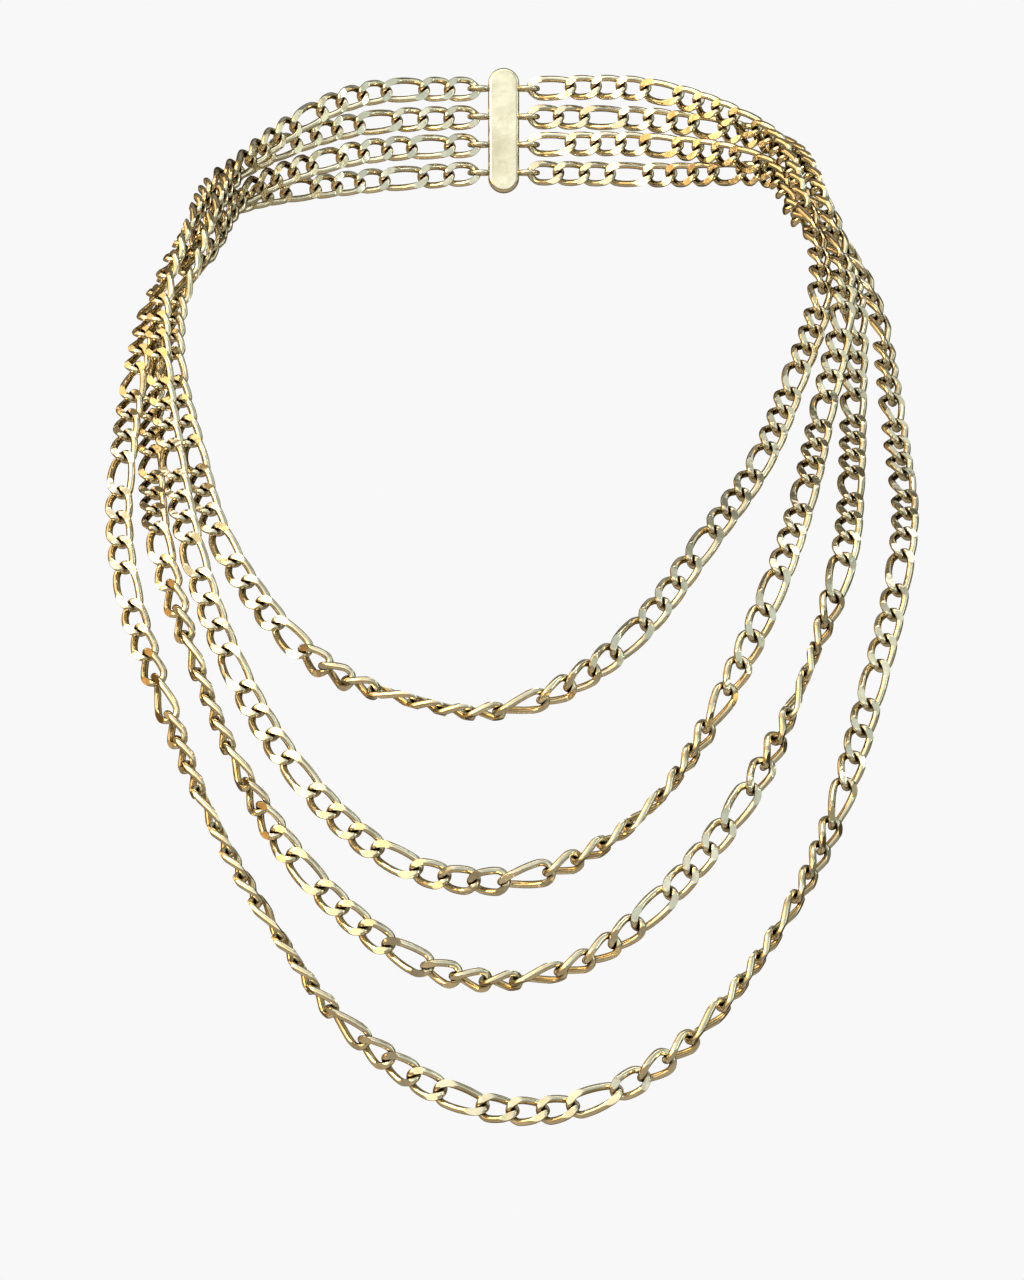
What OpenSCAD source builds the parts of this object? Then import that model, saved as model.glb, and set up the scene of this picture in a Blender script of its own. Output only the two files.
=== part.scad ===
// Figaro chain necklace: four graduated strands of one long link to three short, on one clasp.
// The origin is the nape, where the clasp rests on the neck. X runs across the neck, Y points
// backwards out of the neck and Z is up, so the strands hang forward and down.

/* [Links] */
// Thickness of the gold wire, mm
wire_d = 1.1; // [0.9:0.1:1.2]
// Width of every link, mm
link_w = 4.8; // [4.4:0.1:5.2]
// Outer length of a short link, mm
short_len = 7.5; // [7.2:0.1:7.8]
// Outer length of a long link, mm
long_len = 10; // [9.5:0.1:10.5]
// Links in one repeat, the first of them long
repeat = 4; // [3:1:6]
// Roll of the links to either side of the flat of the chain, degrees
roll = 30; // [26:1:34]
// Thickness of the stub that holds two crossing links together, mm
stub_d = 0.7; // [0.5:0.1:0.9]

/* [Strands] */
// Links in the inner strand
inner_links = 83; // [82:1:84]
// Place of the first long link in the inner strand
inner_long = 2; // [0:1:3]
// Links in the second strand
second_links = 94; // [93:1:95]
// Place of the first long link in the second strand
second_long = 3; // [0:1:3]
// Links in the third strand
third_links = 98; // [97:1:99]
// Place of the first long link in the third strand
third_long = 1; // [0:1:3]
// Links in the outer strand
outer_links = 106; // [105:1:107]
// Place of the first long link in the outer strand
outer_long = 2; // [0:1:3]
// Links in one run at most, the stretch of chain that is one solid
run_links = 11; // [8:1:14]

/* [Clasp] */
// Width of the clasp bar, mm
bar_w = 6; // [5:0.5:8]
// Height of the clasp bar, mm
bar_h = 24; // [22:1:28]
// Thickness of the clasp bar, mm
bar_t = 3; // [2.5:0.5:4]
// Outer diameter of the soldered eyes, mm
eye_d = 4.6; // [4.4:0.1:5]
// How deep an eye sinks into the bar, mm
eye_sink = 0.8; // [0.6:0.1:1]
// Distance between the strands on the bar, mm
lane = 5.4; // [5.2:0.1:6]
// Distance from the neck to the middle of the chain at the nape, mm
nape_y = 2.3; // [2.3:0.1:3]

/* [Hidden] */
$fn = 40;
gold = [0.86, 0.68, 0.33];

// Steps of the smooth curve between two rows of a route
fine = 12;
// Free way of the first link of a strand inside its eye, and where that link starts
eye_gap = 0.25;
start_x = bar_w / 2 + eye_d - eye_sink - 2 * wire_d - eye_gap;
// Lanes of the four strands on the clasp bar, from the top down
top_lane = 1.5 * lane;
mid_lane = 0.5 * lane;

// Which way the flat of the chain faces, in degrees round from the front, against depth y
face = [[-112, 0], [-95, 5], [-79, 17], [-60, 45], [-45, 85], [-26, 120], [0, 180]];

// Routes of the strands, from the left of the clasp round the front to the right of the clasp
// Columns: x, y, z in mm and twist of the flat about the chain in degrees
inner_route = [
  [-start_x, nape_y, top_lane, 0],
  [-28, -5, 6, 0],
  [-48, -26, -8.5, 0],
  [-53.5, -53, -23, 0],
  [-58, -65.5, -37, 0],
  [-58.1, -79, -49.5, 0],
  [-53.4, -94.5, -66, 0],
  [-48, -109, -81, 0],
  [-35.5, -121, -98, 8],
  [-26, -127, -104.5, 48],
  [-17, -131, -107.5, 74],
  [-4.5, -136, -110, 64],
  [7, -137, -107.5, 38],
  [21.5, -131, -97.5, 5],
  [34, -120, -81.5, 0],
  [44, -107, -67.5, 0],
  [51, -90, -51.5, 0],
  [55.5, -78, -40, 0],
  [56.6, -66, -29.5, 0],
  [54, -53, -17, 0],
  [48.5, -26, -3.5, 0],
  [28, -5, 7, 0],
  [start_x, nape_y, top_lane, 0],
];
second_route = [
  [-start_x, nape_y, mid_lane, 0],
  [-29.5, -2.5, 0.5, 0],
  [-51, -24.5, -10.5, 0],
  [-57, -53, -23, 0],
  [-60.5, -67, -34.5, 0],
  [-60.5, -81, -47.5, 0],
  [-57, -98, -66, 0],
  [-52.5, -113, -83, 0],
  [-45, -123, -102.5, 0],
  [-33.5, -132, -120.5, 0],
  [-18, -139, -134, 0],
  [-3, -143, -137.5, 10],
  [9.5, -144, -135, 46],
  [23.5, -141, -126, 72],
  [35, -133, -110.5, 40],
  [45, -127, -89.5, 0],
  [51, -113, -73.5, 0],
  [55, -97, -59, 0],
  [59.5, -81.5, -41.5, 0],
  [60, -64, -27, 0],
  [57.5, -53, -17, 0],
  [51.5, -24.5, -5.5, 0],
  [29.5, -2.5, 1.5, 0],
  [start_x, nape_y, mid_lane, 0],
];
third_route = [
  [-start_x, nape_y, -mid_lane, 0],
  [-28, -5, -5, 0],
  [-48, -26, -14.5, 0],
  [-53.5, -49, -27.5, 0],
  [-60, -57.5, -38, 0],
  [-62, -72.5, -50, 0],
  [-61, -91, -66.5, 0],
  [-58.5, -109, -81, 0],
  [-52, -120, -100.5, 60],
  [-44, -130, -118.5, 56],
  [-32, -138, -136.5, 0],
  [-14, -144, -150.5, 15],
  [-0.5, -146, -153.5, 56],
  [12.5, -147, -150.5, 44],
  [26, -144, -140.5, 0],
  [40.5, -138, -123, 15],
  [49.5, -130, -105.5, 76],
  [57, -122, -85, 5],
  [59.5, -106, -70, 0],
  [61, -89, -56, 0],
  [62.5, -72, -39.5, 0],
  [61.5, -59.5, -30, 0],
  [54, -49, -21.5, 0],
  [48.5, -26, -9.5, 0],
  [28, -5, -3.5, 0],
  [start_x, nape_y, -mid_lane, 0],
];
outer_route = [
  [-start_x, nape_y, -top_lane, 0],
  [-29.5, -2.5, -10.5, 0],
  [-51, -24.5, -16.5, 0],
  [-57.7, -50, -27.5, 0],
  [-62.5, -62, -36, 0],
  [-64.1, -74.5, -46.5, 0],
  [-65, -84, -55.5, 0],
  [-65.6, -93.5, -65.5, 0],
  [-65.9, -101, -77.5, 0],
  [-63.5, -108, -91, 0],
  [-56.5, -118, -109.5, 42],
  [-48.5, -128, -127.5, 70],
  [-38.5, -136, -144, 80],
  [-25.5, -142, -161, 45],
  [-7.5, -146, -172.5, -12],
  [4.5, -148, -174.5, -20],
  [16.5, -149, -172, -15],
  [31, -147, -162.5, 52],
  [45, -141, -145.5, 62],
  [54.5, -132, -128.5, 34],
  [61, -123, -109, 0],
  [66.5, -113, -90, 0],
  [69, -102, -76.5, 0],
  [69, -87, -66, 0],
  [68.5, -69, -51, 0],
  [67.5, -56, -38.5, 0],
  [63.5, -51, -28.5, 0],
  [57.5, -45, -21, 0],
  [51.5, -24.5, -11.5, 0],
  [29.5, -2.5, -9, 0],
  [start_x, nape_y, -top_lane, 0],
];

function xyz(p) = [p[0], p[1], p[2]];
function unit(v) = v / norm(v);
function knot(a, b) = sqrt(norm(xyz(b) - xyz(a)));
function mix(a, b, ta, tb, t) = (a * (tb - t) + b * (t - ta)) / (tb - ta);

// One point of the smooth curve, between rows i + 1 and i + 2
function bend(p, i, f) =
  let (t1 = knot(p[i], p[i + 1]))
  let (t2 = t1 + knot(p[i + 1], p[i + 2]))
  let (t3 = t2 + knot(p[i + 2], p[i + 3]))
  let (t = t1 + f * (t2 - t1))
  let (a = mix(p[i], p[i + 1], 0, t1, t))
  let (b = mix(p[i + 1], p[i + 2], t1, t2, t))
  let (c = mix(p[i + 2], p[i + 3], t2, t3, t))
  mix(mix(a, b, 0, t2, t), mix(b, c, t1, t3, t), t1, t2, t);

function smooth(rows) =
  let (n = len(rows))
  let (p = concat([2 * rows[0] - rows[1]], rows, [2 * rows[n - 1] - rows[n - 2]]))
  concat([for (i = [0 : n - 2]) for (j = [0 : fine - 1]) bend(p, i, j / fine)], [rows[n - 1]]);

// Distance from the start of the route to each point of the curve
function reach(c) =
  [for (i = 0, s = 0; i < len(c); i = i + 1, s = s + norm(xyz(c[min(i, len(c) - 1)]) - xyz(c[i - 1]))) s];

// The four columns of a curve against distance, and the row found at one distance
function columns(c, s) = [for (k = [0 : 3]) [for (i = [0 : len(c) - 1]) [s[i], c[i][k]]]];
function at(cols, d) = [for (k = [0 : 3]) lookup(d, cols[k])];

// Length of link i, and the middles of all the links when they share the slack evenly
function link_len(i, first) = i % repeat == first ? long_len : short_len;
function sum(v, i = 0, s = 0) = i < len(v) ? sum(v, i + 1, s + v[i]) : s;
function middles(lens, step_back) =
  [for (i = 0, d = lens[0] / 2; i < len(lens); i = i + 1,
    d = d + (lens[i - 1] + lens[min(i, len(lens) - 1)]) / 2 - step_back) d];

// Places an upright link frame at distance d: X along the chain, Z out of its flat
module place(cols, d, half) {
  a = at(cols, d - half);
  b = at(cols, d + half);
  m = at(cols, d);
  p = (xyz(a) + xyz(b)) / 2;
  t = unit(xyz(b) - xyz(a));
  f = sign(m[0]) * lookup(m[1], face);
  o = [sin(f), -cos(f), 0];
  n = unit(o - (o * t) * t);
  w = cross(n, t);
  multmatrix([[t[0], w[0], n[0], p[0]], [t[1], w[1], n[1], p[1]], [t[2], w[2], n[2], p[2]], [0, 0, 0, 1]])
    rotate([m[3], 0, 0]) children();
}

// An oval link of round wire, lying flat
module ring(length) {
  r = (link_w - wire_d) / 2;
  s = length - link_w;
  for (side = [0, 1])
    rotate([0, 0, 180 * side]) {
      translate([s / 2, 0, 0])
        rotate([0, 0, -90])
          rotate_extrude(angle = 180) translate([r, 0]) circle(d = wire_d);
      translate([-s / 2, r, 0]) rotate([0, 90, 0]) cylinder(d = wire_d, h = s);
    }
}

// A strand in runs: the links of a run are held by stubs, and the runs hang loose in each other
module strand(rows, count, first) {
  curve = smooth(rows);
  s = reach(curve);
  cols = columns(curve, s);
  lens = [for (i = [0 : count - 1]) link_len(i, first)];
  step_back = (sum(lens) - s[len(s) - 1]) / (count - 1);
  mid = middles(lens, step_back);
  slack = step_back - 2 * wire_d;
  runs = ceil(count / run_links);
  for (k = [0 : runs - 1])
    union() {
      from = floor(k * count / runs);
      last = floor((k + 1) * count / runs) - 1;
      for (i = [from : last])
        place(cols, mid[i], lens[i] / 2 - wire_d)
          rotate([i % 2 == 0 ? roll : -roll, 0, 0]) ring(lens[i]);
      for (i = [from : last - 1])
        place(cols, mid[i] + lens[i] / 2 - wire_d - slack / 2, wire_d)
          rotate([0, 90, 0]) cylinder(d = stub_d, h = wire_d + slack, center = true);
    }
}

module inner_strand() {
  color(gold) strand(inner_route, inner_links, inner_long);
}

module second_strand() {
  color(gold) strand(second_route, second_links, second_long);
}

module third_strand() {
  color(gold) strand(third_route, third_links, third_long);
}

module outer_strand() {
  color(gold) strand(outer_route, outer_links, outer_long);
}

// One plain bar with four soldered eyes on each side
module clasp() {
  straight = bar_h - bar_w;
  eye_r = (eye_d - wire_d) / 2;
  color(gold)
    union() {
      translate([0, nape_y + bar_t / 2, 0])
        rotate([90, 0, 0])
          linear_extrude(bar_t) {
            square([bar_w, straight], center = true);
            for (side = [-1, 1])
              translate([0, side * straight / 2]) circle(d = bar_w);
          }
      for (side = [-1, 1])
        for (z = [-top_lane, -mid_lane, mid_lane, top_lane])
          translate([side * (bar_w / 2 + eye_d / 2 - eye_sink), nape_y, z])
            rotate_extrude() translate([eye_r, 0]) circle(d = wire_d);
    }
}

inner_strand();
second_strand();
third_strand();
outer_strand();
clasp();
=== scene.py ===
# %% [markdown]
# # Figaro chain necklace in yellow gold
# Four graduated strands of figaro chain run into one bundle on each side and meet on one clasp at the
# back. This lesson builds every link as a twisted, filed curb link, lays the links along four routes
# in space, and finishes them in polished gold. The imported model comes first: it is the fixed frame
# that every piece has to lie in.

# %% Load the frame
import math

import bpy
import numpy as np
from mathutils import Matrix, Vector


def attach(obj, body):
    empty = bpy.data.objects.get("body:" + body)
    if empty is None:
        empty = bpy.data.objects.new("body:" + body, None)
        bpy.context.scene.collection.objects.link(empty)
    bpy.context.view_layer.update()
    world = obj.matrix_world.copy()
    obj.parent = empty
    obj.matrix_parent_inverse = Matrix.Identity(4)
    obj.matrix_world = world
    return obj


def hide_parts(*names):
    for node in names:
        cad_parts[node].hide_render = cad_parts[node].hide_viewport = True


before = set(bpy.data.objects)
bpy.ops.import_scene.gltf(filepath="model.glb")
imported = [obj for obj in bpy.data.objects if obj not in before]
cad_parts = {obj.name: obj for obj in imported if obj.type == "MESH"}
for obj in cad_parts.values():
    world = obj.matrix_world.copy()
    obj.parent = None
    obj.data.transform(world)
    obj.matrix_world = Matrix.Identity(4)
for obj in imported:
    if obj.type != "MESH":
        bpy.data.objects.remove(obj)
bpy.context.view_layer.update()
MM = 0.001

# %% [markdown]
# ## The camera
# The necklace was photographed straight from the front with a long lens: its sides look nearly as large
# as its front, although they lie far behind it. A camera can be placed by eye or worked out. Here it is
# worked out: the links look a tenth smaller at the sides than in front, which puts the camera 0.95 m in
# front of the clasp, and the width of a link gives the focal length in pixels.

# %% Camera
IMAGE_W = 1024
FOCAL_PX = 4959
SENSOR_MM = 36
CAMERA_AT = Vector((1.6, -952, -98))

camera_data = bpy.data.cameras.new("camera")
camera_data.sensor_fit = "HORIZONTAL"
camera_data.sensor_width = SENSOR_MM
camera_data.lens = FOCAL_PX * SENSOR_MM / IMAGE_W
camera = bpy.data.objects.new("camera", camera_data)
camera.location = CAMERA_AT * MM
camera.rotation_euler = (math.pi / 2, 0, 0)
bpy.context.scene.collection.objects.link(camera)
bpy.context.scene.camera = camera
print("the lens is", round(camera_data.lens, 1), "mm long")

# %% [markdown]
# ## The routes of the strands
# When it is worn, the chain runs nearly level at the back, turns forward and down at the sides and hangs
# in an open curve in front. Cloth or chain simulation could find such a curve, but it would not find this
# one, so each strand follows a short table of places. A row is x, y and z in millimetres and the twist of
# the flat chain about its own direction in degrees, because a chain turns on edge here and there as it
# lies. The first long link of a strand is counted from its left end, with the first link as nought.

# %% Tables of the routes
START_X = 4.35
BACK_Y = 2.3
TOP_LANE = 8.1
MID_LANE = 2.7

STRANDS = {
    "inner_strand": {"links": 83, "first_long": 2, "route": [
        (-START_X, BACK_Y, TOP_LANE, 0), (-28, -5, 6, 0), (-48, -26, -8.5, 0), (-53.5, -53, -23, 0),
        (-58, -65.5, -37, 0), (-58.1, -79, -49.5, 0), (-53.4, -94.5, -66, 0), (-48, -109, -81, 0),
        (-35.5, -121, -98, 8), (-26, -127, -104.5, 48), (-17, -131, -107.5, 74), (-4.5, -136, -110, 64),
        (7, -137, -107.5, 38), (21.5, -131, -97.5, 5), (34, -120, -81.5, 0), (44, -107, -67.5, 0),
        (51, -90, -51.5, 0), (55.5, -78, -40, 0), (56.6, -66, -29.5, 0), (54, -53, -17, 0),
        (48.5, -26, -3.5, 0), (28, -5, 7, 0), (START_X, BACK_Y, TOP_LANE, 0)]},
    "second_strand": {"links": 94, "first_long": 3, "route": [
        (-START_X, BACK_Y, MID_LANE, 0), (-29.5, -2.5, 0.5, 0), (-51, -24.5, -10.5, 0), (-57, -53, -23, 0),
        (-60.5, -67, -34.5, 0), (-60.5, -81, -47.5, 0), (-57, -98, -66, 0), (-52.5, -113, -83, 0),
        (-45, -123, -102.5, 0), (-33.5, -132, -120.5, 0), (-18, -139, -134, 0), (-3, -143, -137.5, 10),
        (9.5, -144, -135, 46), (23.5, -141, -126, 72), (35, -133, -110.5, 40), (45, -127, -89.5, 0),
        (51, -113, -73.5, 0), (55, -97, -59, 0), (59.5, -81.5, -41.5, 0), (60, -64, -27, 0),
        (57.5, -53, -17, 0), (51.5, -24.5, -5.5, 0), (29.5, -2.5, 1.5, 0), (START_X, BACK_Y, MID_LANE, 0)]},
    "third_strand": {"links": 98, "first_long": 1, "route": [
        (-START_X, BACK_Y, -MID_LANE, 0), (-28, -5, -5, 0), (-48, -26, -14.5, 0), (-53.5, -49, -27.5, 0),
        (-60, -57.5, -38, 0), (-62, -72.5, -50, 0), (-61, -91, -66.5, 0), (-58.5, -109, -81, 0),
        (-52, -120, -100.5, 60), (-44, -130, -118.5, 56), (-32, -138, -136.5, 0), (-14, -144, -150.5, 15),
        (-0.5, -146, -153.5, 56), (12.5, -147, -150.5, 44), (26, -144, -140.5, 0), (40.5, -138, -123, 15),
        (49.5, -130, -105.5, 76), (57, -122, -85, 5), (59.5, -106, -70, 0), (61, -89, -56, 0),
        (62.5, -72, -39.5, 0), (61.5, -59.5, -30, 0), (54, -49, -21.5, 0), (48.5, -26, -9.5, 0),
        (28, -5, -3.5, 0), (START_X, BACK_Y, -MID_LANE, 0)]},
    "outer_strand": {"links": 106, "first_long": 2, "route": [
        (-START_X, BACK_Y, -TOP_LANE, 0), (-29.5, -2.5, -10.5, 0), (-51, -24.5, -16.5, 0),
        (-57.7, -50, -27.5, 0), (-62.5, -62, -36, 0), (-64.1, -74.5, -46.5, 0), (-65, -84, -55.5, 0),
        (-65.6, -93.5, -65.5, 0), (-65.9, -101, -77.5, 0), (-63.5, -108, -91, 0), (-56.5, -118, -109.5, 42),
        (-48.5, -128, -127.5, 70), (-38.5, -136, -144, 80), (-25.5, -142, -161, 45),
        (-7.5, -146, -172.5, -12), (4.5, -148, -174.5, -20), (16.5, -149, -172, -15),
        (31, -147, -162.5, 52), (45, -141, -145.5, 62), (54.5, -132, -128.5, 34), (61, -123, -109, 0),
        (66.5, -113, -90, 0), (69, -102, -76.5, 0), (69, -87, -66, 0), (68.5, -69, -51, 0),
        (67.5, -56, -38.5, 0), (63.5, -51, -28.5, 0), (57.5, -45, -21, 0), (51.5, -24.5, -11.5, 0),
        (29.5, -2.5, -9, 0), (START_X, BACK_Y, -TOP_LANE, 0)]},
}
print("links in each strand:", {name: strand["links"] for name, strand in STRANDS.items()})

# %% [markdown]
# ## A smooth curve through the rows
# A spline that only rounds the corners would cut inside the rows. A Catmull-Rom curve goes through all
# of them, and its centripetal form, which spaces its knots by the root of the distance, neither loops
# nor overshoots where a short step follows a long one. The twist column is carried along as a fourth
# coordinate.

# %% Smooth curve
STEPS_PER_ROW = 12


def smooth_route(rows):
    rows = np.array(rows, float)
    p = np.vstack([2 * rows[0] - rows[1], rows, 2 * rows[-1] - rows[-2]])
    out = []
    for i in range(len(rows) - 1):
        knots = [0.0]
        for k in range(3):
            knots.append(knots[-1] + math.sqrt(np.linalg.norm(p[i + k + 1, :3] - p[i + k, :3])))
        for j in range(STEPS_PER_ROW):
            t = knots[1] + j / STEPS_PER_ROW * (knots[2] - knots[1])
            mix = lambda a, b, ta, tb: (a * (tb - t) + b * (t - ta)) / (tb - ta)
            first = mix(p[i], p[i + 1], knots[0], knots[1])
            middle = mix(p[i + 1], p[i + 2], knots[1], knots[2])
            last = mix(p[i + 2], p[i + 3], knots[2], knots[3])
            out.append(mix(mix(first, middle, knots[0], knots[2]), mix(middle, last, knots[1], knots[3]),
                           knots[1], knots[2]))
    out.append(rows[-1])
    curve = np.array(out)
    reach = np.concatenate([[0], np.cumsum(np.linalg.norm(np.diff(curve[:, :3], axis=0), axis=1))])
    return curve, reach


for name, strand in STRANDS.items():
    strand["curve"], strand["reach"] = smooth_route(strand["route"])
    print(name, "is", round(strand["reach"][-1], 1), "mm long")

# %% [markdown]
# ## Where each link lies
# Figaro chain repeats one long link and three short ones. The links of a strand share its length
# evenly, so every two neighbours overlap by the same small amount. Each link gets a frame: X along the
# chain, Z out of its flat, Y to the side. The flat faces forward in front, turns outwards at the sides
# and faces backwards at the back: FACING_DEG gives that turn at the depths of FACING_Y. A twisted link
# looks more open than a plain ring at the same turn, so TURN_MORE turns it a little further.

# %% Frames of the links
LINK_W = 4.8
WIRE_D = 1.1
SHORT_LEN = 7.5
LONG_LEN = 10.0
REPEAT = 4
FACING_Y = (-112, -95, -79, -60, -45, -26, 0)
FACING_DEG = (0, 5, 17, 45, 85, 120, 180)
TURN_MORE = 1.2


def unit(v):
    return v / np.linalg.norm(v)


def link_frames(strand):
    curve, reach = strand["curve"], strand["reach"]
    at = lambda d: np.array([np.interp(d, reach, curve[:, k]) for k in range(4)])
    lengths = [LONG_LEN if i % REPEAT == strand["first_long"] else SHORT_LEN for i in range(strand["links"])]
    step_back = (sum(lengths) - reach[-1]) / (len(lengths) - 1)
    middle = lengths[0] / 2
    frames = []
    for i, length in enumerate(lengths):
        if i:
            middle += (lengths[i - 1] + length) / 2 - step_back
        half = length / 2 - WIRE_D
        back, front, here = at(middle - half), at(middle + half), at(middle)
        along = unit(front[:3] - back[:3])
        facing = math.radians(math.copysign(np.interp(here[1], FACING_Y, FACING_DEG), here[0]))
        out = np.array([math.sin(facing), -math.cos(facing), 0])
        flat = unit(out - (out @ along) * along)
        side = np.cross(flat, along)
        turn = math.radians(TURN_MORE * here[3])
        c, s = math.cos(turn), math.sin(turn)
        axes = np.stack([along, c * side + s * flat, -s * side + c * flat], 1)
        frames.append((axes, (back[:3] + front[:3]) / 2, length))
    return frames


for name, strand in STRANDS.items():
    strand["frames"] = link_frames(strand)
    print(name, "has", sum(length == LONG_LEN for _, _, length in strand["frames"]), "long links")

# %% [markdown]
# ## One curb link
# A curb link starts as an oval of round wire. The maker twists it until it lies flat against its
# neighbours, so that at each end one side of the wire lies in front and the other behind, and then
# files both faces of the finished chain flat. The filing here is light: most of the wire stays round,
# and only the highest places near the ends of a link carry a small facet. A torus with a Simple Deform
# twist comes close, but the facets would need a boolean on every link. Here the wire is drawn section
# by section. Each section is a circle cut by the two filed planes, and two of its points always lie on
# each edge of the cut, so the facet has a clean outline. The wire is a little thicker than in the
# packed rings, so the ends are trimmed a little, and neighbours nest as closely as on the real chain.

# %% Section points of the wire
LINK_WIRE = 1.25
END_TRIM = 0.2
TWIST = math.radians(46)
FILED_AT = 1.08
SIDE_STEPS = 5
LEAST_CUT = math.radians(12)


def filed_section(height, slope):
    """Angles and radii of one section, from the front round to the back: cut edge, side points, cut edge."""
    r = LINK_WIRE / 2
    cuts = []
    for sign in (1, -1):
        reach_cut = (FILED_AT - sign * height) / (r * slope)
        cuts.append(math.acos(max(-1.0, min(1.0, reach_cut))) if reach_cut < math.cos(LEAST_CUT) else 0.0)
    top, low = (max(cut, LEAST_CUT) for cut in cuts)
    right = [top + (math.pi - low - top) * k / SIDE_STEPS for k in range(SIDE_STEPS + 1)]
    top_r = r * math.cos(top) if cuts[0] else r
    low_r = r * math.cos(low) if cuts[1] else r
    angles = [0.0, *right, math.pi, *[-a for a in reversed(right)]]
    radii = [top_r, *[r] * (SIDE_STEPS + 1), low_r, *[r] * (SIDE_STEPS + 1)]
    return angles, radii, cuts


AROUND = 2 * SIDE_STEPS + 4
print("points round the wire:", AROUND)

# %% [markdown]
# The middle line of the wire starts as a stadium, two straight sides and two round ends, and is then
# turned about the link's own length, evenly from one end to the other, which pulls the ends in to the
# oval of a curb link. A curve with a bevel could follow it, but its sections would all be the same. So
# the line is a function of the distance along it, with a list of stops where the sections are drawn.

# %% Middle line of the wire
END_STEPS = 10
STRAIGHT_STEPS = {SHORT_LEN: 3, LONG_LEN: 6}


def middle_line(length):
    r = (LINK_W - LINK_WIRE) / 2
    straight = length - END_TRIM - LINK_W
    end = straight / 2 + r
    bend = math.pi * r / 2
    quarter = bend + straight / 2
    steps = STRAIGHT_STEPS[length]
    stops = [bend * k / END_STEPS for k in range(END_STEPS)]
    stops += [bend + straight / 2 * k / steps for k in range(steps)]
    mirrored = [quarter - x for x in reversed([*stops[1:], quarter])]
    stops = [q * quarter + s for q in range(4) for s in (mirrored if q % 2 else stops)]

    def line(s):
        q, rest = divmod(s % (4 * quarter), quarter)
        near_end = rest if q % 2 == 0 else quarter - rest
        angle = min(near_end / r, math.pi / 2)
        x = straight / 2 + r * math.cos(angle) if near_end < bend else quarter - near_end
        y = r * math.sin(angle)
        x = x if q in (0, 3) else -x
        y = y if q in (0, 1) else -y
        turn = -TWIST * x / end
        return np.array([x, y * math.cos(turn), y * math.sin(turn)])

    return line, stops, straight


print("sections of each link:", {length: len(middle_line(length)[1]) for length in (SHORT_LEN, LONG_LEN)})

# %% [markdown]
# The mesh of a link joins its sections into one closed surface. It also keeps two painted values: how
# filed a point is, and how much it lies on a flank of the wire, towards the hollow of the link or its
# outer rim. The flank value makes the metal a little softer, and it paints shade into the colour: fully
# on the side that faces the hollow, where shade falls, and less on the outer rim.

# %% Mesh of one link
OUTER_RIM = 0.62
NUDGE = 0.01


def link_mesh(length):
    line, stops, straight = middle_line(length)
    points, filed, flank, sharp = [], [], [], []
    for s in stops:
        here = line(s)
        along = unit(line(s + NUDGE) - line(s - NUDGE))
        up = unit(np.array([0, 0, 1]) - along[2] * along)
        side = np.cross(along, up)
        angles, radii, cuts = filed_section(here[2], up[2])
        core = np.array([max(-straight / 2, min(straight / 2, here[0])), 0, here[2]])
        inwards = unit(core - here)
        sharp.append(cuts)
        for k, (angle, radius) in enumerate(zip(angles, radii)):
            arm = math.cos(angle) * up + math.sin(angle) * side
            points.append(here + radius * arm)
            on_front = cuts[0] > 0 and k in (0, 1, AROUND - 1)
            on_back = cuts[1] > 0 and k in (SIDE_STEPS + 1, SIDE_STEPS + 2, SIDE_STEPS + 3)
            filed.append(1.0 if on_front or on_back else 0.0)
            sideways = arm @ inwards
            # painted shade on the flanks: full towards the hollow, less on the outer rim
            flank.append(0.0 if on_front or on_back else max(sideways, -OUTER_RIM * sideways))
    rings = len(stops)
    faces, hard = [], []
    for i in range(rings):
        j = (i + 1) % rings
        for k in range(AROUND):
            m = (k + 1) % AROUND
            faces.append((i * AROUND + k, i * AROUND + m, j * AROUND + m, j * AROUND + k))
        for face, edges in enumerate(((1, AROUND - 1), (SIDE_STEPS + 1, SIDE_STEPS + 3))):
            if sharp[i][face] > 0 and sharp[j][face] > 0:
                hard += [(i * AROUND + k, j * AROUND + k) for k in edges]
    return {"points": np.array(points), "faces": np.array(faces), "hard": np.array(hard),
            "filed": np.array(filed), "flank": np.array(flank), "line": np.array([line(x) for x in stops])}


LINKS = {length: link_mesh(length) for length in (SHORT_LEN, LONG_LEN)}
for length, link in LINKS.items():
    print("a link of", length, "mm has", 2 * len(link["faces"]), "triangles")

# %% [markdown]
# ## Joining the links along a strand
# Instances would keep the file light, but a strand is one piece with painted values that differ from
# link to link, so the links are written into one mesh. A third painted value is painted shade where two
# links cross: it falls from one at the neighbour's wire to nothing 0.6 mm away, and the material darkens
# the gold nearly to black there.

# %% Painted shade where links cross
SHADE_REACH = 0.6


# painted shade where links cross: one at a neighbour's wire, falling to nothing 0.6 mm further out
def shade_near_wires(points, wires):
    wires = np.vstack(wires)
    near = np.empty(len(points))
    for row in range(0, len(points), AROUND):
        gap = np.linalg.norm(points[row:row + AROUND, None] - wires[None], axis=2)
        near[row:row + AROUND] = gap.min(axis=1)
    return np.clip(1 - (near - LINK_WIRE / 2) / SHADE_REACH, 0, 1)


# the painted shade where links cross reaches this far from a neighbour's wire
print("links rub up to", SHADE_REACH, "mm from a neighbour's wire")

# %% [markdown]
# A crisp edge could come from a bevel or a split mesh. Here the edges of the facets are marked sharp, so
# the wire stays one smooth closed mesh with a clean cut. The painted values become attributes of the
# points, which a material can read.

# %% Marks on a mesh
def mark_sharp(mesh, hard):
    hard = {(min(a, b), max(a, b)) for a, b in hard.tolist()}
    ends = np.empty(2 * len(mesh.edges), int)
    mesh.edges.foreach_get("vertices", ends)
    ends = np.sort(ends.reshape(-1, 2), axis=1).tolist()
    sharp = mesh.attributes.new("sharp_edge", "BOOLEAN", "EDGE")
    sharp.data.foreach_set("value", [tuple(pair) in hard for pair in ends])


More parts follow.
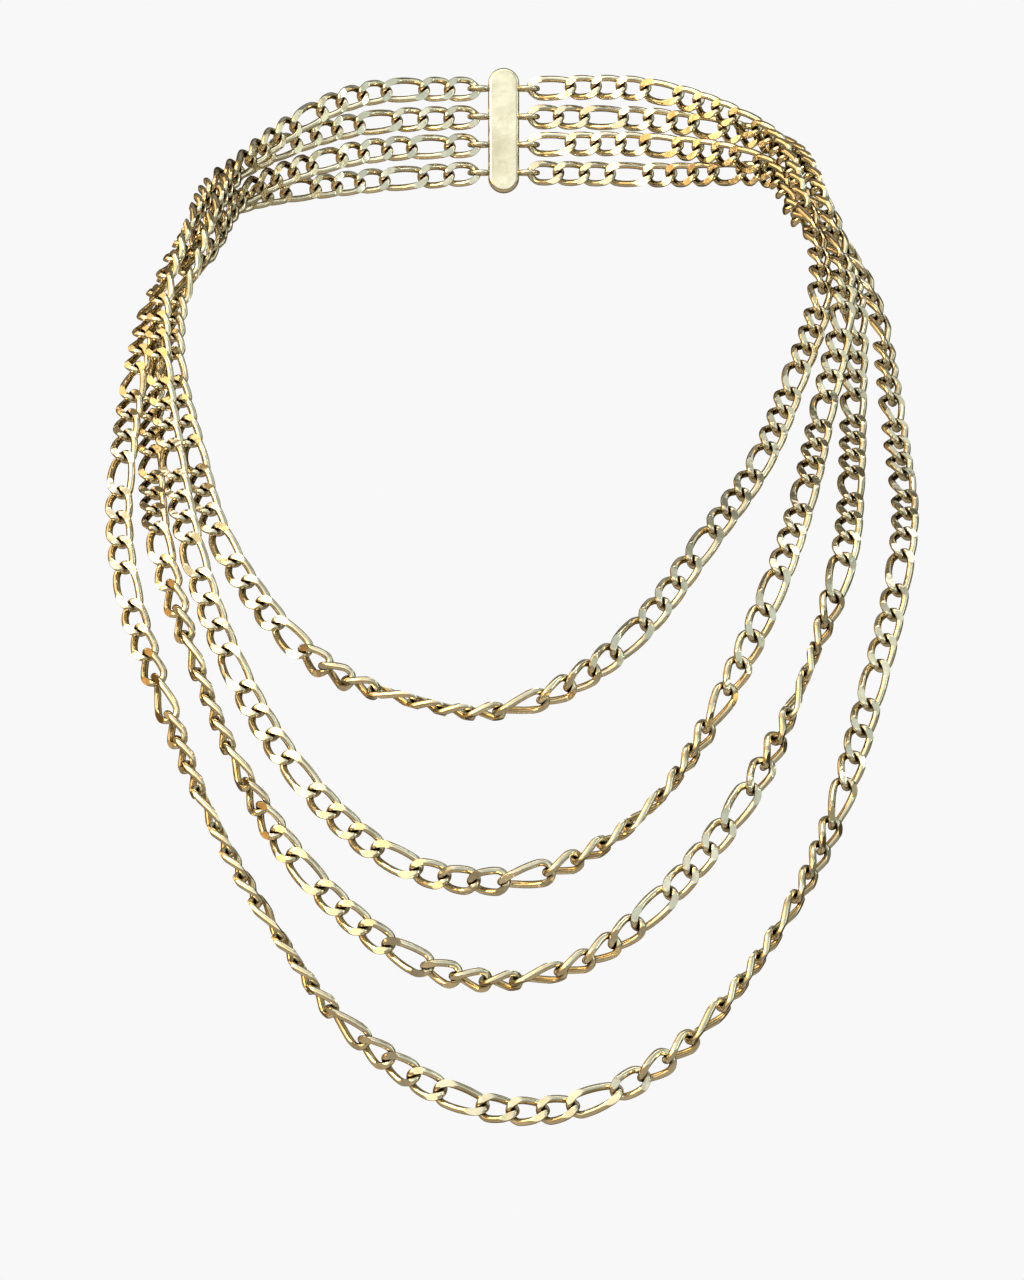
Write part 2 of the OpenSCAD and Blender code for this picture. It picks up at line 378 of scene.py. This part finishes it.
def paint_points(mesh, paint):
    for label, values in paint.items():
        layer = mesh.attributes.new(label, "FLOAT", "POINT")
        layer.data.foreach_set("value", values)


print("sharp edges of each link:", {length: len(link["hard"]) for length, link in LINKS.items()})

# %% [markdown]
# Now every link is laid in its frame. It also gets a tone of its own, as every link of a chain that has
# been worn has its own polish. The same seed gives the same tones each run.

# %% Strands
TONE_SEED = 7
tones = np.random.default_rng(TONE_SEED)


def strand_object(name, strand):
    placed = []
    for axes, centre, length in strand["frames"]:
        link = LINKS[length]
        placed.append((link, link["points"] @ axes.T + centre, link["line"] @ axes.T + centre))
    points, faces, hard, paint = [], [], [], {"filed": [], "flank": [], "shaded": [], "tone": []}
    start = 0
    for i, (link, spots, _) in enumerate(placed):
        points.append(spots * MM)
        faces.append(link["faces"] + start)
        hard.append(link["hard"] + start)
        paint["filed"].append(link["filed"])
        paint["flank"].append(link["flank"])
        neighbours = (*placed[max(i - 1, 0):i], *placed[i + 1:i + 2])
        # painted shade where a neighbour's wire crosses this link
        paint["shaded"].append(shade_near_wires(spots, [wire for _, _, wire in neighbours]))
        paint["tone"].append(np.full(len(spots), tones.random()))
        start += len(spots)
    mesh = bpy.data.meshes.new(name + "_links")
    mesh.from_pydata(np.vstack(points), [], np.vstack(faces))
    mesh.polygons.foreach_set("use_smooth", np.ones(len(mesh.polygons), bool))
    mark_sharp(mesh, np.vstack(hard))
    paint_points(mesh, {label: np.concatenate(values) for label, values in paint.items()})
    mesh.validate()
    piece = bpy.data.objects.new(name + "_links", mesh)
    bpy.context.scene.collection.objects.link(piece)
    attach(piece, "root")
    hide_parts(name)
    print(piece.name, "has", 2 * len(mesh.polygons), "triangles")
    return piece


strands = [strand_object(name, strand) for name, strand in STRANDS.items()]

# %% [markdown]
# ## The clasp
# The clasp sits out of sight at the back, so it is one plain bar with a row of soldered eyes on each
# side, one for the end of every strand. A cube with a bevel modifier would do for the bar, but its
# round ends would be uneven, so the bar is lofted from outlines of its rounded plate, inset step by step
# where its edge is rounded.

# %% Bar of the clasp
BAR_W = 6.0
BAR_H = 24.0
BAR_T = 3.0
BAR_ROUND = 0.7
AROUND_BAR = 48
ROUND_STEPS = 5
ROUND_OFF = 1e-9


def plate_outline(inset):
    r = BAR_W / 2 - inset
    half = (BAR_H - BAR_W) / 2
    turns = [2 * math.pi * k / AROUND_BAR for k in range(AROUND_BAR)]
    return [(r * math.cos(a), r * math.sin(a) + math.copysign(half, math.sin(a) + ROUND_OFF)) for a in turns]


def bar_mesh():
    bends = [math.pi / 2 * k / ROUND_STEPS for k in range(ROUND_STEPS + 1)]
    inner = BAR_T / 2 - BAR_ROUND
    rows = [(BAR_ROUND * (1 - math.sin(a)), -inner - BAR_ROUND * math.cos(a)) for a in bends]
    rows += [(inset, -y) for inset, y in reversed(rows)]
    points = [(x, BACK_Y + y, z) for inset, y in rows for x, z in plate_outline(inset)]
    n = AROUND_BAR
    faces = [(i * n + k, (i + 1) * n + k, (i + 1) * n + (k + 1) % n, i * n + (k + 1) % n)
             for i in range(len(rows) - 1) for k in range(n)]
    return points, faces + [tuple(range(n)), tuple(reversed(range((len(rows) - 1) * n, len(rows) * n)))]


print("the bar has", len(bar_mesh()[1]), "faces")

# %% [markdown]
# The eyes are plain rings of wire that sink into the bar. Blender's torus would do for them too, but then
# they would have to be joined to the bar afterwards. Their wire is thinner and their ring a little wider
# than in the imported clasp, so that the last links, which are thicker here, hang clear in them.

# %% Eyes of the clasp
EYE_D = 4.8
EYE_WIRE = 0.9
EYE_SINK = 0.8
EYE_TURNS = 40
AROUND_EYE = 16


def eye_mesh(x, z):
    ring_r, wire_r = (EYE_D - EYE_WIRE) / 2, EYE_WIRE / 2
    points, faces = [], []
    for i in range(EYE_TURNS):
        a = 2 * math.pi * i / EYE_TURNS
        here, there = i * AROUND_EYE, (i + 1) % EYE_TURNS * AROUND_EYE
        for k in range(AROUND_EYE):
            b = 2 * math.pi * k / AROUND_EYE
            m = (k + 1) % AROUND_EYE
            reach_out = ring_r + wire_r * math.cos(b)
            points.append((x + reach_out * math.cos(a), BACK_Y + reach_out * math.sin(a),
                           z + wire_r * math.sin(b)))
            faces.append((here + k, there + k, there + m, here + m))
    return points, faces


eye_x = BAR_W / 2 + EYE_D / 2 - EYE_SINK
print("the eyes stand", round(eye_x, 1), "mm to each side")

# %% [markdown]
# The clasp is one piece, so its bar and eyes share one mesh. It carries the same painted values as the
# links, because it gets the same material: it is filed all over and carries no painted shade.

# %% Clasp
CLASP_PAINT = {"filed": 1.0, "flank": 0.0, "shaded": 0.0, "tone": 0.5}

pieces = [bar_mesh()] + [eye_mesh(side * eye_x, z) for side in (-1, 1)
                         for z in (-TOP_LANE, -MID_LANE, MID_LANE, TOP_LANE)]
clasp_points, clasp_faces = [], []
for points, faces in pieces:
    clasp_faces += [tuple(v + len(clasp_points) for v in face) for face in faces]
    clasp_points += [tuple(c * MM for c in p) for p in points]
clasp_mesh = bpy.data.meshes.new("clasp_bar")
clasp_mesh.from_pydata(clasp_points, [], clasp_faces)
clasp_mesh.polygons.foreach_set("use_smooth", [len(face) == 4 for face in clasp_faces])
paint_points(clasp_mesh, {label: np.full(len(clasp_points), value) for label, value in CLASP_PAINT.items()})
clasp = bpy.data.objects.new("clasp_bar", clasp_mesh)
bpy.context.scene.collection.objects.link(clasp)
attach(clasp, "root")
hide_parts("clasp")
print("the clasp has", len(pieces) - 1, "eyes")

# %% [markdown]
# ## Polished gold
# Gold is a metal, so its colour lives in its reflections, and what makes it look real is how the polish
# varies. The filed facets are the smoothest and the flanks of the wire are softer. The colour also
# carries painted shade: a deeper gold on the flanks, towards the hollow and the outer rim, and nearly
# black where links cross. A texture painted over the whole strand would stretch along the links, so the
# values that were painted on the points drive the colour and the roughness. Three noises in object space
# add the rest: a slow one for handling marks, a middle one for the slight waves that polishing by hand
# leaves, and a fine one for scratches. The tint of the specular socket deepens the colour where the
# metal is seen at a low angle.

# %% Colours of the gold
GOLD_BRIGHT = (0.94, 0.905, 0.74, 1)
GOLD_WORN = (0.71, 0.665, 0.50, 1)
# painted shade: the deep gold on the flanks of the wire
GOLD_FLANK_SHADE = (0.39, 0.295, 0.135, 1)
# painted shade: the near black where links cross
CROSSING_SHADE = (0.035, 0.020, 0.010, 1)
EDGE_TINT = (0.08, 0.05, 0.03, 1)
LEAST_TONE = 0.86
print("the deep gold keeps", round(GOLD_FLANK_SHADE[0] / GOLD_BRIGHT[0], 2), "of the bright gold's red")

# %% [markdown]
# A material is a tree of nodes. A few small helpers keep the tree readable: one adds a node, one reads a
# painted value, one spreads a value over a new range, one blends two colours and one adds two values.

# %% Helpers for the nodes
def add(tree, kind, **settings):
    node = tree.nodes.new(kind)
    for key, value in settings.items():
        setattr(node, key, value)
    return node


def painted(tree, label):
    return add(tree, "ShaderNodeAttribute", attribute_name=label).outputs["Fac"]


def spread(tree, value, low, high, to_low, to_high):
    node = add(tree, "ShaderNodeMapRange")
    tree.links.new(value, node.inputs["Value"])
    for label, number in (("From Min", low), ("From Max", high), ("To Min", to_low), ("To Max", to_high)):
        node.inputs[label].default_value = number
    return node.outputs["Result"]


def blend_colour(tree, factor, a, b, mode="MIX"):
    node = add(tree, "ShaderNodeMix", data_type="RGBA", blend_type=mode)
    for socket, value in ((node.inputs[0], factor), (node.inputs[6], a), (node.inputs[7], b)):
        if isinstance(value, (tuple, float)):
            socket.default_value = value
        else:
            tree.links.new(value, socket)
    return node.outputs[2]


def total(tree, a, b):
    node = add(tree, "ShaderNodeMath", operation="ADD", use_clamp=True)
    for socket, value in zip(node.inputs, (a, b)):
        tree.links.new(value, socket)
    return node.outputs[0]


print("helpers:", ", ".join(helper.__name__ for helper in (add, painted, spread, blend_colour, total)))

# %% [markdown]
# The colour goes from bright to worn by the slow noise, to deep gold on the flanks, which is painted
# shade, and to a painted shade that is nearly black where links cross, and each link's tone dims it a
# little. The roughness adds up: least on the facets, more on the sides, and more again where the metal
# is worn and on the flanks.

# %% Colour and roughness of the gold
HANDLING_NOISE = {"Scale": 260, "Detail": 3, "Roughness": 0.6}
FLANK_FROM = 0.45
WORN_RANGE = (0.35, 0.7)
SHADE_RANGE = (0.1, 0.9)
ROUGH_SIDES = 0.12
ROUGH_FILED = 0.10
ROUGH_MORE_WORN = 0.04
ROUGH_MORE_FLANK = 0.05

gold = bpy.data.materials.new("polished_gold")
gold.use_nodes = True
tree = gold.node_tree
shader = tree.nodes["Principled BSDF"]
shader.inputs["Metallic"].default_value = 1.0
shader.inputs["Specular Tint"].default_value = EDGE_TINT
place = add(tree, "ShaderNodeTexCoord").outputs["Object"]


def noise(settings):
    node = add(tree, "ShaderNodeTexNoise")
    tree.links.new(place, node.inputs["Vector"])
    for label, number in settings.items():
        node.inputs[label].default_value = number
    return node.outputs["Fac"]


flank = spread(tree, painted(tree, "flank"), FLANK_FROM, 1.0, 0.0, 1.0)
worn = spread(tree, noise(HANDLING_NOISE), *WORN_RANGE, 0.0, 1.0)
colour = blend_colour(tree, worn, GOLD_BRIGHT, GOLD_WORN)
# painted shade on the flanks of the wire
colour = blend_colour(tree, flank, colour, GOLD_FLANK_SHADE)
# painted shade, nearly black, where links cross
shaded = spread(tree, painted(tree, "shaded"), *SHADE_RANGE, 0.0, 1.0)
colour = blend_colour(tree, shaded, colour, CROSSING_SHADE)
tone = spread(tree, painted(tree, "tone"), 0.0, 1.0, LEAST_TONE, 1.0)
tint = add(tree, "ShaderNodeCombineColor")
for socket in tint.inputs:
    tree.links.new(tone, socket)
colour = blend_colour(tree, 1.0, colour, tint.outputs["Color"], "MULTIPLY")
tree.links.new(colour, shader.inputs["Base Color"])
soft = spread(tree, painted(tree, "filed"), 0.0, 1.0, ROUGH_SIDES, ROUGH_FILED)
soft = total(tree, soft, spread(tree, worn, 0.0, 1.0, 0.0, ROUGH_MORE_WORN))
soft = total(tree, soft, spread(tree, flank, 0.0, 1.0, 0.0, ROUGH_MORE_FLANK))
tree.links.new(soft, shader.inputs["Roughness"])
for piece in (*strands, clasp):
    piece.data.materials.append(gold)
print("gold is on", len(strands) + 1, "pieces")

# %% [markdown]
# Two bumps, one on top of the other, break up the reflections: the slight waves of polishing and the
# fine scratches. Both are far too shallow to be shape, so they are bump and not mesh.

# %% Waves and scratches
WAVE_NOISE = {"Scale": 750, "Detail": 1, "Roughness": 0.4}
WAVE_BUMP = {"Strength": 0.6, "Distance": 0.00012}
SCRATCH_NOISE = {"Scale": 5200, "Detail": 2, "Roughness": 0.5}
SCRATCH_BUMP = {"Strength": 0.12, "Distance": 0.00004}


def bump(height, settings):
    node = add(tree, "ShaderNodeBump")
    for label, number in settings.items():
        node.inputs[label].default_value = number
    tree.links.new(height, node.inputs["Height"])
    return node


waves = bump(noise(WAVE_NOISE), WAVE_BUMP)
scratches = bump(noise(SCRATCH_NOISE), SCRATCH_BUMP)
tree.links.new(waves.outputs["Normal"], scratches.inputs["Normal"])
tree.links.new(scratches.outputs["Normal"], shader.inputs["Normal"])
print("the waves are", WAVE_BUMP["Distance"] / MM, "mm deep at most")

# %% [markdown]
# ## Floor and light
# The floor is a plain sheet well below the necklace. A pale sheet that is lit by warm and cool lamps
# turns beige, and its far edge cuts through the picture from behind. So its material mixes two
# shaders by the kind of ray: the camera sees one even pale tone, the same as the ground behind, and
# the metal sees a dull grey sheet, which keeps the undersides of the links dark.

# %% Floor
GROUND = (0.939, 0.939, 0.939, 1)
FLOOR_Z = -0.35
FLOOR_HALF = 0.9
FLOOR_FRONT = -1.3
FLOOR_GREY = (0.45, 0.44, 0.42, 1)
FLOOR_ROUGH = 0.9

floor_mesh = bpy.data.meshes.new("floor")
corners = [(x, y, FLOOR_Z) for y in (FLOOR_FRONT, FLOOR_HALF) for x in (-FLOOR_HALF, FLOOR_HALF)]
floor_mesh.from_pydata(corners, [], [(0, 1, 3, 2)])
floor = bpy.data.objects.new("floor", floor_mesh)
bpy.context.scene.collection.objects.link(floor)

plain = bpy.data.materials.new("pale_floor")
plain.use_nodes = True
sheet = plain.node_tree
sheet.nodes["Principled BSDF"].inputs["Base Color"].default_value = FLOOR_GREY
sheet.nodes["Principled BSDF"].inputs["Roughness"].default_value = FLOOR_ROUGH
seen = add(sheet, "ShaderNodeEmission")
seen.inputs["Color"].default_value = GROUND
either = add(sheet, "ShaderNodeMixShader")
sheet.links.new(add(sheet, "ShaderNodeLightPath").outputs["Is Camera Ray"], either.inputs["Fac"])
sheet.links.new(sheet.nodes["Principled BSDF"].outputs["BSDF"], either.inputs[1])
sheet.links.new(seen.outputs["Emission"], either.inputs[2])
sheet.links.new(either.outputs["Shader"], sheet.nodes["Material Output"].inputs["Surface"])
floor_mesh.materials.append(plain)
print("the floor lies", -FLOOR_Z, "m below the middle of the clasp")

# %% [markdown]
# Polished metal shows its surroundings more than itself, so they are planned like a still life of
# jewellery. Three gradients are multiplied. Across, the studio is orange on the left, neutral in the
# middle and cool on the right, and both ends are bright, because the wires there show them in narrow
# glints. Upwards, it rises from a dim floor. Backwards, along a line that leans down a little, it is
# bright in front and falls through brown at the sides to a dark ring just behind the necklace. A round
# wire mirrors the front in its core, the sides in its flanks and that ring in its edges, so it gets a
# bright core, brown flanks and a dark outline. Past the ring the studio is bright again, and a screen
# stands high at the back, so that the necklace is gold from behind too. The ground that the camera
# sees is pale and even, because the world mixes the two by the kind of ray. A picture of a real studio
# would bring reflections too, but with details of its own.

# %% Gradients of the studio
ACROSS = (
    (0.00, (5.00, 3.20, 1.60, 1)),
    (0.07, (3.40, 2.30, 1.20, 1)),
    (0.16, (2.30, 1.70, 0.92, 1)),
    (0.30, (1.58, 1.30, 0.86, 1)),
    (0.44, (1.18, 1.15, 1.02, 1)),
    (0.54, (1.06, 1.07, 0.98, 1)),
    (0.66, (0.74, 0.78, 0.74, 1)),
    (0.82, (0.62, 0.69, 0.68, 1)),
    (0.93, (1.30, 1.50, 1.50, 1)),
    (1.00, (2.20, 2.60, 2.80, 1)),
)
UPWARDS = ((0.00, 0.10), (0.25, 0.28), (0.42, 0.66), (0.50, 0.90), (0.62, 1.00), (0.85, 0.95), (1.00, 0.70))
BACKWARDS = (
    (0.00, (1.12, 1.12, 1.12, 1)),
    (0.12, (1.02, 1.01, 0.98, 1)),
    (0.22, (0.58, 0.54, 0.46, 1)),
    (0.32, (0.32, 0.27, 0.20, 1)),
    (0.42, (0.20, 0.16, 0.10, 1)),
    (0.50, (0.16, 0.13, 0.08, 1)),
    (0.60, (0.05, 0.035, 0.02, 1)),
    (0.72, (0.05, 0.04, 0.02, 1)),
    (0.82, (0.55, 0.53, 0.48, 1)),
    (1.00, (0.90, 0.89, 0.86, 1)),
)
print("stops across, upwards and backwards:", len(ACROSS), len(UPWARDS), len(BACKWARDS))

# %% [markdown]
# Each gradient is a colour ramp over the cosine between the direction of a ray and one axis, which a dot
# product gives. So its two ends are the two ends of that axis, and its middle is everything square to it.

# %% World
ACROSS_AXIS = (1, 0, 0)
UPWARDS_AXIS = (0, 0, 1)
BACKWARDS_AXIS = (0, 0.94, -0.34)
SCREEN_AXIS = (0.15, 0.80, 0.58)
SCREEN_EDGE = (0.75, 0.97)
SCREEN_GREY = (0.55, 0.55, 0.53, 1)

world = bpy.data.worlds.new("studio")
world.use_nodes = True
bpy.context.scene.world = world
sky = world.node_tree
direction = add(sky, "ShaderNodeTexCoord").outputs["Generated"]


def towards(axis):
    node = add(sky, "ShaderNodeVectorMath", operation="DOT_PRODUCT")
    sky.links.new(direction, node.inputs[0])
    node.inputs[1].default_value = axis
    return node.outputs["Value"]


def gradient(axis, stops):
    node = add(sky, "ShaderNodeValToRGB")
    sky.links.new(spread(sky, towards(axis), -1.0, 1.0, 0.0, 1.0), node.inputs["Fac"])
    for i, (place, colour) in enumerate(stops):
        stop = node.color_ramp.elements[i] if i in (0, 1) else node.color_ramp.elements.new(place)
        stop.position = place
        stop.color = colour if isinstance(colour, tuple) else (colour, colour, colour, 1)
    return node.outputs["Color"]


glow = gradient(ACROSS_AXIS, ACROSS)
for axis, stops in ((UPWARDS_AXIS, UPWARDS), (BACKWARDS_AXIS, BACKWARDS)):
    glow = blend_colour(sky, 1.0, glow, gradient(axis, stops), "MULTIPLY")
screen = spread(sky, towards(SCREEN_AXIS), *SCREEN_EDGE, 0.0, 1.0)
glow = blend_colour(sky, screen, glow, SCREEN_GREY)
glow = blend_colour(sky, add(sky, "ShaderNodeLightPath").outputs["Is Camera Ray"], glow, GROUND)
sky.links.new(glow, sky.nodes["Background"].inputs["Color"])
sky.nodes["Background"].inputs["Strength"].default_value = 1.0
bpy.context.scene.view_settings.view_transform = "Standard"
print("the world has", len(sky.nodes), "nodes")

# %% [markdown]
# Five area lamps do what gradients can't, because a gradient has a direction and no place. A warm one
# hangs close to the left bundle and glows on it more than on the rest. The two behind the bundles are
# mirrored by the links that lean back at the sides and would otherwise mirror the dark ring. One on the
# right is cooler, and a wide one above lays a glint along the tops of the wires. All are weak, because a
# facet that faces a lamp mirrors it whole. A row of LAMPS is a lamp's name, its place, what it is aimed
# at and its two sides, all in metres, then its power in watts and its colour.

# %% Lamps
LEFT_BUNDLE = (-0.06, -0.08, -0.05)
RIGHT_BUNDLE = (0.06, -0.08, -0.05)
MIDDLE = (0, -0.1, -0.08)
LAMPS = (
    ("lamp_left", (-0.24, -0.28, 0.06), (-0.06, -0.07, -0.04), (0.20, 0.26), 1.1, (1.0, 0.66, 0.30)),
    ("lamp_back_left", (-0.27, 0.0, 0.145), LEFT_BUNDLE, (0.25, 0.25), 0.30, (1.0, 0.70, 0.34)),
    ("lamp_back_right", (0.27, 0.0, 0.145), RIGHT_BUNDLE, (0.25, 0.25), 0.13, (0.92, 1.0, 0.95)),
    ("lamp_right", (0.80, -0.50, 0.10), MIDDLE, (0.10, 0.70), 0.5, (0.90, 1.0, 0.90)),
    ("lamp_above", (0.0, -0.25, 0.60), MIDDLE, (0.90, 0.22), 1.1, (1.0, 0.96, 0.88)),
)


def lamp(name, place, aim, sides, power, colour):
    data = bpy.data.lights.new(name, "AREA")
    data.shape = "RECTANGLE"
    data.size, data.size_y = sides
    data.energy = power
    data.color = colour
    obj = bpy.data.objects.new(name, data)
    obj.location = place
    obj.rotation_euler = (Vector(aim) - Vector(place)).to_track_quat("-Z", "Y").to_euler()
    obj.visible_camera = False
    bpy.context.scene.collection.objects.link(obj)


for row in LAMPS:
    lamp(*row)
print("lamps:", ", ".join(row[0] for row in LAMPS))
